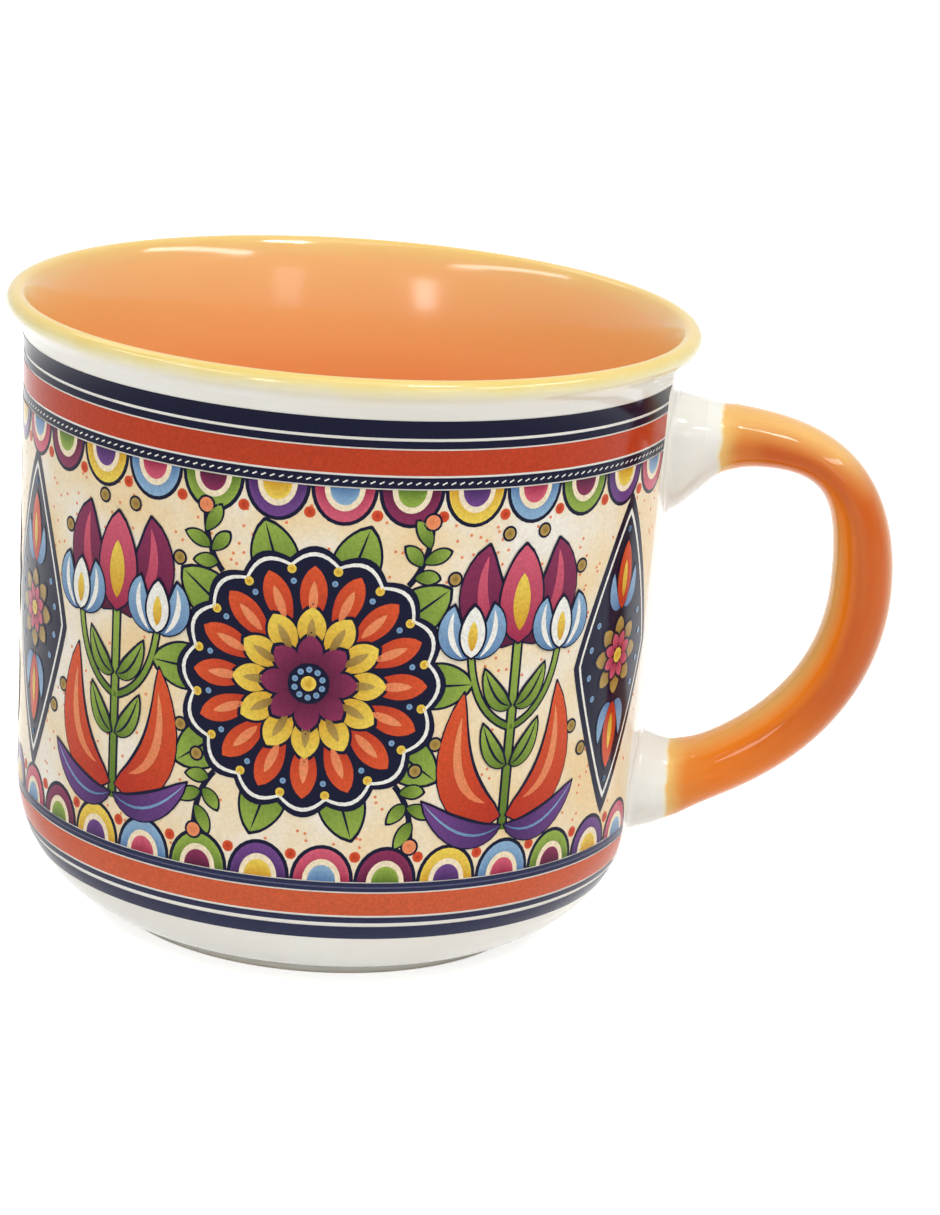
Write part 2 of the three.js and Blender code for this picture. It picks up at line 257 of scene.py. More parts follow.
def bezier(a, b, c, d, count):
    """The cubic (1-t)^3 a + 3t(1-t)^2 b + 3t^2(1-t) c + t^3 d at even t."""
    a, b, c, d = (np.asarray(p, float) for p in (a, b, c, d))
    t = np.linspace(0, 1, count).reshape((-1,) + (1,) * a.ndim)
    return (1 - t) ** 3 * a + 3 * t * (1 - t) ** 2 * b + 3 * t**2 * (1 - t) * c + t**3 * d


def wall_radius(z):
    """Radius of the straight tapered wall: its radius at the table plus the lean's rise."""
    return WALL_RADIUS_AT_TABLE + z * np.tan(WALL_LEAN)


def bead_heading(angle):
    """Unit direction along the lip bead at an angle in degrees."""
    return np.array([-np.sin(np.radians(angle)), np.cos(np.radians(angle))])


BEAD_CENTRE = np.array([LIP_RADIUS - LIP_BEAD_RADIUS, CUP_HEIGHT - LIP_BEAD_RADIUS])
UP_WALL = np.array([np.sin(WALL_LEAN), np.cos(WALL_LEAN)])


def outside_profile():
    """Foot round, corner arc, straight wall, flare curve and bead arc up to the crest of the lip."""
    corner_height = CORNER_LIFT + CORNER_RADIUS
    corner = np.array([wall_radius(corner_height) - CORNER_RADIUS / np.cos(WALL_LEAN), corner_height])
    over_foot = -np.degrees(np.arccos((FOOT_RADIUS - corner[0]) / CORNER_RADIUS))
    foot = arc((FOOT_RADIUS - FOOT_ROUND, FOOT_ROUND), FOOT_ROUND, -90, 0, 6)
    base = arc(corner, CORNER_RADIUS, over_foot, -np.degrees(WALL_LEAN), 40)
    start = np.array([WALL_RADIUS_UNDER_LIP, CUP_HEIGHT - LIP_FLARE_HEIGHT])
    heights = np.linspace(base[-1, 1], start[1], 40)[1:-1]
    wall = np.stack([wall_radius(heights), heights], -1)
    bead = arc(BEAD_CENTRE, LIP_BEAD_RADIUS, BEAD_OUTER_ANGLE, 90, 20)
    into_bead = FLARE_BEAD_PULL * bead_heading(BEAD_OUTER_ANGLE)
    flare = bezier(start, start + FLARE_WALL_PULL * UP_WALL, bead[0] - into_bead, bead[0], 24)
    return np.concatenate([foot, base, wall, flare, bead[1:]])


def inside_profile():
    """Bead arc over the crest, mouth curve, straight wall, inner corner arc and floor to the axis."""
    bead = arc(BEAD_CENTRE, LIP_BEAD_RADIUS, 90, BEAD_INNER_ANGLE, 16)
    height = CUP_HEIGHT - LIP_MOUTH_HEIGHT
    throat = np.array([wall_radius(height) - WALL_THICKNESS / np.cos(WALL_LEAN), height])
    out_of_bead = MOUTH_BEAD_PULL * bead_heading(BEAD_INNER_ANGLE)
    mouth = bezier(bead[-1], bead[-1] + out_of_bead, throat + MOUTH_WALL_PULL * UP_WALL, throat, 60)
    corner_height = FLOOR_HEIGHT + INNER_CORNER_RADIUS
    reach = wall_radius(corner_height) - (WALL_THICKNESS + INNER_CORNER_RADIUS) / np.cos(WALL_LEAN)
    floor = arc((reach, corner_height), INNER_CORNER_RADIUS, -np.degrees(WALL_LEAN), -90, 30)
    heights = np.linspace(height, floor[0, 1], 40)[1:-1]
    wall = np.stack([wall_radius(heights) - WALL_THICKNESS / np.cos(WALL_LEAN), heights], -1)
    middle = np.stack([np.linspace(reach, 0, 20)[1:], np.full(19, FLOOR_HEIGHT)], -1)
    return np.concatenate([bead, mouth[1:], wall, floor, middle])


def underside_profile():
    """From the middle of the recess to the foot ring's inner round."""
    inner = FOOT_RADIUS - FOOT_WIDTH
    middle = np.stack([np.linspace(0, inner - FOOT_RECESS, 14), np.full(14, FOOT_RECESS)], -1)
    return np.concatenate([middle, arc((inner + FOOT_ROUND, FOOT_ROUND), FOOT_ROUND, 180, 270, 6)])


def lengths(profile):
    """Length along a profile at each of its points: the running sum of its steps."""
    return np.concatenate([[0], np.cumsum(np.hypot(*np.diff(profile, axis=0).T))])


def sideways(profile):
    """Unit normals to the right of a profile's direction, from its finite differences."""
    heading = unit(np.gradient(profile, axis=0))
    return np.stack([heading[:, 1], -heading[:, 0]], -1)


def eased(share):
    """A smooth step from 0 to 1: 3 t^2 - 2 t^3 with t held between 0 and 1."""
    t = np.clip(share, 0, 1)
    return t * t * (3 - 2 * t)


OUTSIDE = outside_profile()
INSIDE = inside_profile()
CUP_SKIN = np.concatenate([OUTSIDE, INSIDE[1:]])
SKIN_NORMAL = sideways(CUP_SKIN)
PAST_CREST = lengths(CUP_SKIN) - lengths(CUP_SKIN)[len(OUTSIDE) - 1]


def turned(profile):
    """Each profile point (r, z) carried round the axis: (r cos a, r sin a, z). Rows follow the profile."""
    angle = np.linspace(0, 2 * np.pi, TURNS, endpoint=False)
    r, z = profile[:, :1], profile[:, 1:]
    return np.stack([r * np.cos(angle), r * np.sin(angle), z + 0 * angle], -1)


def turned_mesh(name, profile):
    """A turned skin: the map's u follows the angle, its v the length of the profile. Poles are welded."""
    grid = turned(profile)
    rows, cols = grid.shape[:2]
    step_i, step_j = grid_faces(rows, cols, closed_cols=True)
    faces = (step_j % cols) + step_i * cols
    length = lengths(profile)
    uv = np.stack([step_j / cols, (length / length[-1])[step_i]], -1)
    mesh = make_mesh(name, grid.reshape(-1, 3), faces[:, ::-1], uv[:, ::-1])
    weld(mesh)
    mesh.set_sharp_from_angle(angle=SHARP_EDGE)
    return mesh


def weld(mesh):
    """Merges points that fall on one place, so that poles close in triangles."""
    work = bmesh.new()
    work.from_mesh(mesh)
    bmesh.ops.remove_doubles(work, verts=work.verts, dist=WELD_DISTANCE)
    work.to_mesh(mesh)
    work.free()


def coat_profile(start, stop, lift):
    """A closed profile: the skin between two lengths past the crest, lifted, and back along its bed."""
    kept = (PAST_CREST >= start) & (PAST_CREST <= stop)
    skin, normal = CUP_SKIN[kept], SKIN_NORMAL[kept]
    top = skin + normal * lift(PAST_CREST[kept])[:, None]
    return np.concatenate([top, (skin + normal * COAT_BED)[::-1]])


# Materials

def new_material(name):
    """A material with its shader and its node tree at hand."""
    material = bpy.data.materials.new(name)
    material.use_nodes = True
    return material, material.node_tree.nodes["Principled BSDF"], material.node_tree


def add_node(tree, kind, **settings):
    """A node of one kind, with its settings."""
    node = tree.nodes.new(kind)
    for name, value in settings.items():
        setattr(node, name, value)
    return node


def feed(tree, socket, value):
    """Links a socket to another one, or sets its number or colour."""
    if isinstance(value, bpy.types.NodeSocket):
        tree.links.new(value, socket)
    else:
        socket.default_value = value


def noise(tree, scale, detail=3.0):
    """Grain in the frame's own metres, so that it stays put on the piece."""
    place = add_node(tree, "ShaderNodeTexCoord")
    grain = add_node(tree, "ShaderNodeTexNoise")
    grain.inputs["Scale"].default_value = scale
    grain.inputs["Detail"].default_value = detail
    tree.links.new(place.outputs["Object"], grain.inputs["Vector"])
    return grain.outputs["Fac"]


def ramp(tree, factor, stops):
    """A colour ramp of (position, colour) stops read by a factor."""
    node = add_node(tree, "ShaderNodeValToRGB")
    marks = node.color_ramp.elements
    while len(marks) < len(stops):
        marks.new(0.5)
    for mark, (position, colour) in zip(marks, stops):
        mark.position = position
        mark.color = colour
    tree.links.new(factor, node.inputs["Fac"])
    return node.outputs["Color"]


def spread(tree, value, low, high, to_low, to_high):
    """A value carried from one range to another, held at the ends."""
    node = add_node(tree, "ShaderNodeMapRange", clamp=True)
    tree.links.new(value, node.inputs["Value"])
    for name, number in zip(("From Min", "From Max", "To Min", "To Max"), (low, high, to_low, to_high)):
        node.inputs[name].default_value = number
    return node.outputs["Result"]


def worked(tree, operation, *values):
    """One arithmetic step on sockets or numbers."""
    node = add_node(tree, "ShaderNodeMath", operation=operation)
    for socket, value in zip(node.inputs, values):
        feed(tree, socket, value)
    return node.outputs["Value"]


def mixed(tree, factor, first, second):
    """Two colours, sockets or values, blended by a factor."""
    node = add_node(tree, "ShaderNodeMix", data_type="RGBA")
    for number, value in ((0, factor), (6, first), (7, second)):
        feed(tree, node.inputs[number], value)
    return node.outputs[2]


def shaded(tree, colour, amount):
    """A colour times an amount."""
    node = add_node(tree, "ShaderNodeVectorMath", operation="SCALE")
    tree.links.new(colour, node.inputs[0])
    tree.links.new(amount, node.inputs["Scale"])
    return node.outputs["Vector"]


def map_place(tree):
    """The map's two coordinates, u and v."""
    place = add_node(tree, "ShaderNodeUVMap", uv_map="OFBake")
    split = add_node(tree, "ShaderNodeSeparateXYZ")
    tree.links.new(place.outputs["UV"], split.inputs["Vector"])
    return split.outputs["X"], split.outputs["Y"]


def split_place(tree, kind="Object"):
    """The three coordinates of a place, in metres in the frame of the part."""
    place = add_node(tree, "ShaderNodeTexCoord")
    split = add_node(tree, "ShaderNodeSeparateXYZ")
    tree.links.new(place.outputs[kind], split.inputs["Vector"])
    return split.outputs


def height_of(tree):
    """Height above the table, in metres."""
    return split_place(tree)["Z"]


def bump(tree, shader, height, strength, distance):
    """Fine unevenness of a fired surface."""
    node = add_node(tree, "ShaderNodeBump")
    node.inputs["Strength"].default_value = strength
    node.inputs["Distance"].default_value = distance
    tree.links.new(height, node.inputs["Height"])
    tree.links.new(node.outputs["Normal"], shader.inputs["Normal"])


def fired_gloss(tree, shader, rough, waves, depth):
    """Gloss that drifts a little over the surface, and shallow waves left by the melting glaze."""
    drift = noise(tree, 160)
    tree.links.new(spread(tree, drift, 0.3, 0.7, rough * 0.8, rough * 1.25), shader.inputs["Roughness"])
    bump(tree, shader, noise(tree, waves, 2), 0.1, depth)


def porcelain(name):
    """White body under clear glaze: a faint warm drift, and a dry unglazed bottom on the foot ring."""
    material, shader, tree = new_material(name)
    drift = spread(tree, noise(tree, 55), 0.35, 0.7, 0, 1)
    body = mixed(tree, drift, WHITE, linear(240, 236, 224))
    bare = spread(tree, height_of(tree), 0.0003, 0.0006, 1, 0)
    tree.links.new(mixed(tree, bare, body, linear(222, 212, 196)), shader.inputs["Base Color"])
    fired_gloss(tree, shader, 0.1, 90, 0.0004)
    glazed = shader.inputs["Roughness"].links[0].from_socket
    dry = worked(tree, "MULTIPLY", bare, DRY_ROUGHNESS)
    tree.links.new(worked(tree, "MAXIMUM", glazed, dry), shader.inputs["Roughness"])
    return material


def inside_orange():
    """Orange glaze, paler and yellower where it thins towards the lip, with faint clouds."""
    material, shader, tree = new_material("inside_orange")
    depth = spread(tree, height_of(tree), 0.03, CUP_HEIGHT * MM, 0, 1)
    deep = ramp(tree, depth, (
        (0.0, linear(244, 146, 88)),
        (0.5, linear(246, 155, 95)),
        (0.75, linear(250, 183, 115)),
        (0.88, linear(246, 183, 110)),
        (1.0, linear(241, 188, 114)),
    ))
    clouds = spread(tree, noise(tree, 70), 0.3, 0.75, 0, 0.35)
    tree.links.new(mixed(tree, clouds, deep, linear(250, 192, 124)), shader.inputs["Base Color"])
    fired_gloss(tree, shader, 0.16, 60, 0.0006)
    return material


def lip_yellow():
    """Yellow glaze on the lip: white where it runs out on the flare, straw on the crest, orange inside."""
    material, shader, tree = new_material("lip_yellow")
    _, along = map_place(tree)
    wander = spread(tree, noise(tree, 140), 0.3, 0.7, -0.018, 0.018)
    colour = ramp(tree, worked(tree, "ADD", along, wander), (
        (0.04, WHITE),
        (0.12, linear(243, 237, 210)),
        (0.17, linear(243, 232, 182)),
        (0.21, linear(240, 221, 148)),
        (0.25, linear(236, 208, 118)),
        (0.3, linear(235, 203, 108)),
        (0.39, linear(238, 197, 114)),
        (0.5, linear(241, 188, 114)),
    ))
    patches = spread(tree, noise(tree, 120), 0.4, 0.75, 0, 0.25)
    tree.links.new(mixed(tree, patches, colour, linear(244, 220, 150)), shader.inputs["Base Color"])
    fired_gloss(tree, shader, 0.1, 110, 0.0003)
    return material


def past_dip_line(tree):
    """Millimetres outwards from the glaze's edge at the nearer root, which wanders a little."""
    place = split_place(tree)
    halfway = (UPPER_ROOT_HEIGHT + LOWER_ROOT_HEIGHT) / 2 * MM
    upper = worked(tree, "GREATER_THAN", place["Z"], halfway)
    line = spread(tree, upper, 0, 1, AXIS_X + LOWER_DIP_LINE, AXIS_X + UPPER_DIP_LINE)
    out = worked(tree, "SUBTRACT", worked(tree, "DIVIDE", place["X"], MM), line)
    wander = spread(tree, noise(tree, 300), 0.3, 0.7, -0.3, 0.3)
    return worked(tree, "ADD", out, wander)


def gold_thinning_and_highlight(tree, crown_side, height):
    """How far the grip's glaze turns gold: over the top of the shoulder, narrowly along the outer edge
    below it, and along the finger side of the grip;
    partly real thinning of the glaze over the edges, partly painted highlight on the shoulder's top and
    painted rim light along the edges."""
    shoulder = spread(tree, height, 0.063, 0.0695, 0, 1)
    # The top of the shoulder: painted highlight.
    top = worked(tree, "MULTIPLY", spread(tree, crown_side, 0.46, 0.76, 0, 0.9), shoulder)
    outer_edge = spread(tree, crown_side, 0.68, 0.93, 0, 0.55)
    below_shoulder = spread(tree, height, 0.055, 0.067, 1, 0.3)
    above_heel = spread(tree, height, 0.022, 0.034, 0.35, 1)
    grip = worked(tree, "MINIMUM", below_shoulder, above_heel)
    finger_edge = worked(tree, "MULTIPLY", spread(tree, crown_side, 0.12, 0.3, 0.9, 0), grip)
    return worked(tree, "MAXIMUM", worked(tree, "MAXIMUM", top, outer_edge), finger_edge)


def limb_streaks(tree, crown_side, along):
    """Noise on the map's two coordinates, each times its own count, so that it runs along the limb."""
    place = add_node(tree, "ShaderNodeCombineXYZ")
    tree.links.new(worked(tree, "MULTIPLY", crown_side, STREAKS_ACROSS), place.inputs["X"])
    tree.links.new(worked(tree, "MULTIPLY", along, STREAKS_ALONG), place.inputs["Y"])
    run = add_node(tree, "ShaderNodeTexNoise")
    run.inputs["Scale"].default_value = 1.0
    tree.links.new(place.outputs["Vector"], run.inputs["Vector"])
    return spread(tree, run.outputs["Fac"], 0.4, 0.7, 0, 0.08)


def grip_orange():
    """Orange glaze on the grip: a narrow pale fringe at each root, amber behind it, a brighter orange on
    the heel and on the finger side that is painted light from above, gold where the glaze thins at its
    edges and as painted highlight over the shoulder, with faint streaks along the limb."""
    material, shader, tree = new_material("grip_orange")
    across, along = map_place(tree)
    crown_side = worked(tree, "ABSOLUTE", spread(tree, across, 0, 1, -1, 1))
    height = height_of(tree)
    # Painted light: the heel's top, lit from above, and the finger side of the grip get a brighter orange.
    heel = spread(tree, height, 0.024, 0.037, 1, 0)
    below_shoulder = spread(tree, height, 0.062, 0.07, 1, 0.1)
    fingers = worked(tree, "MULTIPLY", spread(tree, crown_side, 0.28, 0.42, 1, 0), below_shoulder)
    lit_heel_and_fingers = worked(tree, "MAXIMUM", heel, fingers)
    limb = mixed(tree, lit_heel_and_fingers, linear(208, 93, 12), linear(246, 130, 24))
    edge = spread(tree, past_dip_line(tree), *FRINGE, 0, 1)
    fringe = ramp(tree, edge, (
        (0.08, WHITE),
        (0.115, linear(250, 238, 204)),
        (0.15, linear(246, 200, 116)),
        (0.4, linear(236, 140, 50)),
    ))
    colour = mixed(tree, spread(tree, edge, 0.2, 0.75, 0, 1), fringe, limb)
    streaks = limb_streaks(tree, crown_side, along)
    # Gold for glaze that thins at the edges, partly painted highlight on the shoulder's top and painted rim
    # light along the edges.
    thin = worked(tree, "MAXIMUM", gold_thinning_and_highlight(tree, crown_side, height), streaks)
    thin = worked(tree, "MULTIPLY", thin, spread(tree, edge, 0.11, 0.16, 0, 1))
    tree.links.new(mixed(tree, thin, colour, linear(241, 190, 110)), shader.inputs["Base Color"])
    shader.inputs["Specular IOR Level"].default_value = GRIP_GLOSS
    fired_gloss(tree, shader, 0.07, 140, 0.0003)
    return material


def printed(tree, shader, tone, fineness, low, high):
    """A tone times a fine screen grain between two levels, with the low gloss of a fired print."""
    grain = spread(tree, noise(tree, fineness, 2), 0.3, 0.7, low, high)
    tree.links.new(shaded(tree, tone, grain), shader.inputs["Base Color"])
    shader.inputs["Specular IOR Level"].default_value = INK_GLOSS
    fired_gloss(tree, shader, 0.14, 90, 0.0003)


def ink(name, root, tip):
    """A fired print ink: it goes from one tone at a shape's root to another at its tip."""
    material, shader, tree = new_material(name)
    _, along = map_place(tree)
    tone = ramp(tree, along, ((0.0, root), (1.0, tip)))
    printed(tree, shader, tone, 2600, 0.86, 1.1)
    return material


def print_cream():
    """The print's ground: cream with yellower clouds, whiter patches and a fine screen grain."""
    material, shader, tree = new_material("print_cream")
    clouds = spread(tree, noise(tree, 75, 4), 0.36, 0.66, 0, 1)
    ground = ramp(tree, clouds, (
        (0.0, linear(247, 240, 226)),
        (0.45, CREAM),
        (1.0, linear(245, 216, 166)),
    ))
    printed(tree, shader, ground, 2200, 0.93, 1.04)
    return material


def print_inks():
    """The print's inks, each with its tone at a shape's root and at its tip."""
    tones = {
        "navy": (NAVY, NAVY),
        "foot_navy": (REFLECTION_PALED_NAVY, REFLECTION_PALED_NAVY),
        "stripe_red": (RED, RED),
        "foot_red": (REFLECTION_PALED_RED, REFLECTION_PALED_RED),
        "slate": (SLATE, SLATE),
        "red": (linear(186, 50, 30), linear(222, 88, 46)),
        "coral": (linear(232, 128, 82), linear(238, 150, 102)),
        "plum": (linear(84, 22, 54), linear(140, 48, 88)),
        "purple": (linear(70, 40, 96), linear(114, 70, 138)),
        "rose": (linear(160, 40, 74), linear(216, 96, 118)),
        "yellow": (linear(212, 156, 40), linear(242, 212, 88)),
        "green": (linear(88, 118, 36), linear(152, 178, 76)),
        "sky": (linear(84, 122, 168), linear(144, 180, 210)),
        "gold": (linear(138, 104, 42), linear(188, 156, 84)),
        "cream": (CREAM, CREAM),
        "white": (WHITE, WHITE),
    }
    return {name: ink(f"{name}_ink", *tone) for name, tone in tones.items()}


# Cup and glazes

def add_cup():
    """The whole turned cup: underside, outside and inside in one closed profile."""
    profile = np.concatenate([underside_profile(), CUP_SKIN])
    add_piece(turned_mesh("cup", profile), "cup_body", porcelain("cup_porcelain"))


def lip_lift(past_crest):
    """The lip's coat: almost nothing on the flare, full depth over the crest, a little less inside."""
    rise = (GLAZE_THICKNESS + LAP_STEP) * eased((past_crest + LIP_COAT_DROP) / LIP_COAT_FADE)
    return FLARE_EDGE_LIFT + rise - 2 * LAP_STEP * eased(past_crest / LIP_COAT_REACH)


def inside_lift(past_crest):
    """The inside coat: one depth all over, a hair under the lip's coat, which laps over it."""
    return np.full(past_crest.shape, GLAZE_THICKNESS - LAP_STEP)


def add_cup_glazes():
    """The inside coat down to the middle of the floor, and the lip's coat lapped over its edge."""
    coat = coat_profile(LIP_COAT_REACH - LIP_COAT_LAP, PAST_CREST[-1], inside_lift)
    add_piece(turned_mesh("inside_glaze", coat), "interior_glaze", inside_orange())
    band = coat_profile(-LIP_COAT_DROP, LIP_COAT_REACH, lip_lift)
    add_piece(turned_mesh("lip_glaze", band), "rim_glaze", lip_yellow())


# Handle

def handle_line(count):
    """Two cubics from the upper root round the grip to the lower one, at even steps, with tangents."""
    upper = np.array([wall_radius(UPPER_ROOT_HEIGHT), UPPER_ROOT_HEIGHT])
    lower = np.array([wall_radius(LOWER_ROOT_HEIGHT), LOWER_ROOT_HEIGHT])
    grip = upper + [HANDLE_REACH, -GRIP_DROP]
    shoulder = np.array([np.cos(SHOULDER_ANGLE), np.sin(SHOULDER_ANGLE)])
    heel = np.array([np.cos(HEEL_ANGLE), np.sin(HEEL_ANGLE)])
    first = bezier(upper, upper + SHOULDER_PULL * shoulder, grip + [0, GRIP_UPPER_PULL], grip, 400)
    second = bezier(grip, grip - [0, GRIP_LOWER_PULL], lower + HEEL_PULL * heel, lower, 400)
    buried = [upper - ROOT_BURY * shoulder], [lower - ROOT_BURY * heel]
    path = np.concatenate([buried[0], first, second[1:], buried[1]])
    length = lengths(path)
    along = np.linspace(0, length[-1], count)
    line = np.stack([np.interp(along, length, path[:, k]) for k in (0, 1)], -1)
    return line, unit(np.gradient(line, axis=0)), along


def bell(distance, length):
    """exp(-(distance / length)^2): 1 at no distance, falling to nothing."""
    return np.exp(-((distance / length) ** 2))


def grip_skin(rings, lift=0.0):
    """Egg-shaped rings across the centre line: half sizes outwards, to the fingers and sideways, flared at
    the roots. The lift is one number, or one for each point."""
    line, tangent, along = handle_line(rings)
    from_upper = along - ROOT_BURY
    upper = bell(np.clip(from_upper, 0, None), UPPER_FLARE_LENGTH)
    lower = bell(np.clip(along[-1] - along - ROOT_BURY, 0, None), LOWER_FLARE_LENGTH)
    limb = (GRIP_THICKNESS - SHOULDER_SLIMMING * bell(from_upper - SHOULDER_PLACE, SHOULDER_SPAN)) / 2
    outer = limb + UPPER_OUTER_FLARE * upper + LOWER_OUTER_FLARE * lower
    inner = limb + UPPER_INNER_FLARE * upper + LOWER_INNER_FLARE * lower
    wide = (GRIP_WIDTH + (ROOT_WIDTH - GRIP_WIDTH) * (upper + lower)) / 2
    angle = np.linspace(0, 2 * np.pi, RING_SIDES, endpoint=False)
    outward = np.stack([-tangent[:, 1], tangent[:, 0]], -1)
    half = np.where(np.cos(angle) > 0, outer[:, None], inner[:, None])
    out = (half + lift) * np.cos(angle)
    side = -(wide[:, None] + lift) * np.sin(angle)
    x = line[:, :1] + outward[:, :1] * out
    z = line[:, 1:] + outward[:, 1:] * out
    return np.stack([x, side, z], -1), along


def out_of_the_inside(grid):
    """Points pushed out from the cup's axis until they lie no deeper than halfway into its wall."""
    radius = np.hypot(grid[..., 0], grid[..., 1])
    halfway = np.interp(grid[..., 2], OUTSIDE[:, 1], OUTSIDE[:, 0]) - WALL_THICKNESS / 2
    grid[..., :2] *= (np.maximum(radius, halfway) / radius)[..., None]
    return grid


def add_handle():
    """The cast handle from root to root, its ends sunk into the wall."""
    grid, _ = grip_skin(CAST_RINGS)
    grid = out_of_the_inside(grid)
    mesh = grid_mesh("handle_cast", grid[:, ::-1], closed_cols=True)
    add_piece(mesh, "handle", porcelain("handle_porcelain"))


def add_handle_glaze():
    """A sleeve over the grip: it hugs the cast at both roots and rises to full depth past each dip line."""
    bare, along = grip_skin(SLEEVE_RINGS)
    upper_half = (along < along[-1] / 2)[:, None]
    dip_line = np.where(upper_half, UPPER_DIP_LINE, LOWER_DIP_LINE)
    rise = eased((bare[..., 0] - dip_line) / GRIP_GLAZE_FADE)
    lift = 2 * COAT_BED + (GLAZE_THICKNESS - 2 * COAT_BED) * rise
    first = ROOT_BURY + UPPER_GLAZE_START
    last = along[-1] - ROOT_BURY - LOWER_GLAZE_START
    kept = (along >= first) & (along <= last)
    outer = grip_skin(SLEEVE_RINGS, lift)[0][kept]
    inner = grip_skin(SLEEVE_RINGS, COAT_BED)[0][kept]
    grid = np.concatenate([outer, inner[::-1]])[:, ::-1]
    mesh = grid_mesh("grip_glaze", grid, closed_rows=True, closed_cols=True)
    add_piece(mesh, "handle_glaze", grip_orange())


def on_wall(angle, z, lift=0.0):
    """A point of the outside at an angle round the axis and a height, lifted along the profile's normal."""
    normal = sideways(OUTSIDE)
    radius = np.interp(z, OUTSIDE[:, 1], OUTSIDE[:, 0])
    out = np.interp(z, OUTSIDE[:, 1], normal[:, 0])
    up = np.interp(z, OUTSIDE[:, 1], normal[:, 1])
    r = radius + lift * out
    place = np.stack([r * np.cos(angle), r * np.sin(angle), z + lift * up], -1)
    facing = np.stack([out * np.cos(angle), out * np.sin(angle), up + 0 * angle], -1)
    return place, facing


def slip_fillet(name, node, grid, material):
    """A fillet round a root: cubics that leave a ring of the cast along its skin and end on the wall."""
    radius = np.hypot(grid[..., 0], grid[..., 1])
    outside = radius - np.interp(grid[..., 2], OUTSIDE[:, 1], OUTSIDE[:, 0])
    crossing = np.argmax(outside > 0, axis=0)
    column = np.arange(grid.shape[1])
    meets = grid[crossing, column]
    start = grid[crossing + FILLET_START_RING, column]
    fall = unit(grid[crossing + FILLET_HEADING_RING, column] - start)
    angle = np.arctan2(meets[:, 1], meets[:, 0])
    flat = np.stack([angle * PRINT_RADIUS, meets[:, 2]], -1)
    flat = flat + FILLET * unit(flat - flat.mean(0))
    end, _ = on_wall(flat[:, 0] / PRINT_RADIUS, flat[:, 1], FILLET_BED)
    inward = unit(meets - end)
    pull = FILLET * FILLET_PULL
    rings = bezier(start, start + fall * pull, end + inward * pull, end, FILLET_STEPS)
    mesh = grid_mesh(name, rings, closed_cols=True)
    add_piece(mesh, node, material)


def add_slip_joints():
    """A soft fillet of slip at each root of the handle."""
    grid, _ = grip_skin(FILLET_RINGS)
    slip = porcelain("slip_porcelain")
    slip_fillet("upper_slip", "upper_slip_joint", grid, slip)
    slip_fillet("lower_slip", "lower_slip_joint", grid[::-1, ::-1], slip)


# Stripes

def wall_band(name, low, high, lift, rows=6):
    """A sheet round the wall between two heights, from one edge of the handle's bare strip to the other."""
    start = BARE_STRIP / PRINT_RADIUS
    angle = np.linspace(start, 2 * np.pi - start, BAND_STEPS)[None, :]
    z = np.linspace(low, high, rows)[:, None]
    angle, z = np.broadcast_arrays(angle, z)
    place, facing = on_wall(angle, z, lift)
    rows, cols = angle.shape
    step_i, step_j = grid_faces(rows, cols)
    faces = (step_i * cols + step_j)[:, ::-1]
    uv = np.stack([step_j / (cols - 1), step_i / (rows - 1)], -1)[:, ::-1]
    return make_mesh(name, place.reshape(-1, 3), faces, uv, facing.reshape(-1, 3))


def add_stripes(inks):
    """Navy and red rings above and below the picture."""
    for where, node, slot, stripes in (
        ("upper", "upper_stripe_transfer", "upper_stripe_ink", UPPER_STRIPES),
        ("lower", "lower_stripe_transfer", "lower_stripe_ink", LOWER_STRIPES),
    ):
        for colour, bands in stripes.items():
            for number, (high, low) in enumerate(bands, 1):
                mesh = wall_band(f"{where}_{colour}_stripe_{number}", low, high, PRINT_LIFT + INK_LIFT)
                add_piece(mesh, node, inks[colour])


def add_ground():
    """The cream ground of the picture."""
    mesh = wall_band("picture_ground", PRINT_FOOT, PRINT_TOP, PRINT_LIFT, GROUND_ROWS)
    add_piece(mesh, "picture_transfer", print_cream())


# Print shapes, in millimetres along the wall and up it

PRINT = {}
PRINT_END = (np.pi / 2) * PRINT_RADIUS - BARE_STRIP
PRINT_START = BARE_STRIP - (3 * np.pi / 2) * PRINT_RADIUS
HALF_TURN = np.pi * PRINT_RADIUS
PICTURE_MIDDLE = 44.3
PLANT_FOOT = 24
BLUNT_END = 0.04
TIP_EDGE = 1.6
VEIN_WIDTH = 0.36
SCALLOP_SWEEP = 1.53


def stamp(colour, shapes, layer):
    """Keeps a batch of shapes, each a grid of (along, up) places, for one ink and one layer."""
    PRINT.setdefault(colour, []).append((shapes, layer))


def spines(root, bend, tip, rows):
    """Centre lines (1-u)^2 root + 2u(1-u) bend + u^2 tip at even u, and the unit arrows across them."""
    root, bend, tip = (np.atleast_2d(p).astype(float)[:, None, :] for p in (root, bend, tip))
    u = np.linspace(0, 1, rows)[None, :, None]
    line = (1 - u) ** 2 * root + 2 * u * (1 - u) * bend + u**2 * tip
    heading = unit(2 * (1 - u) * (bend - root) + 2 * u * (tip - bend))
    return u, line, np.stack([heading[..., 1], -heading[..., 0]], -1)


def petals(root, bend, tip, width, belly=1.0, full=0.7, rows=14, cols=4):
    """Petals on centre lines; the half width follows sin(pi u^belly)^full between blunt ends."""
    u, line, across = spines(root, bend, tip, rows)
    swell = BLUNT_END + (1 - BLUNT_END) * np.sin(np.pi * u**belly) ** full
    half = np.reshape(width, (-1, 1, 1)) / 2 * swell
    side = np.linspace(-1, 1, cols)[None, None, :, None]
    return line[:, :, None] + side * (half * across)[:, :, None]


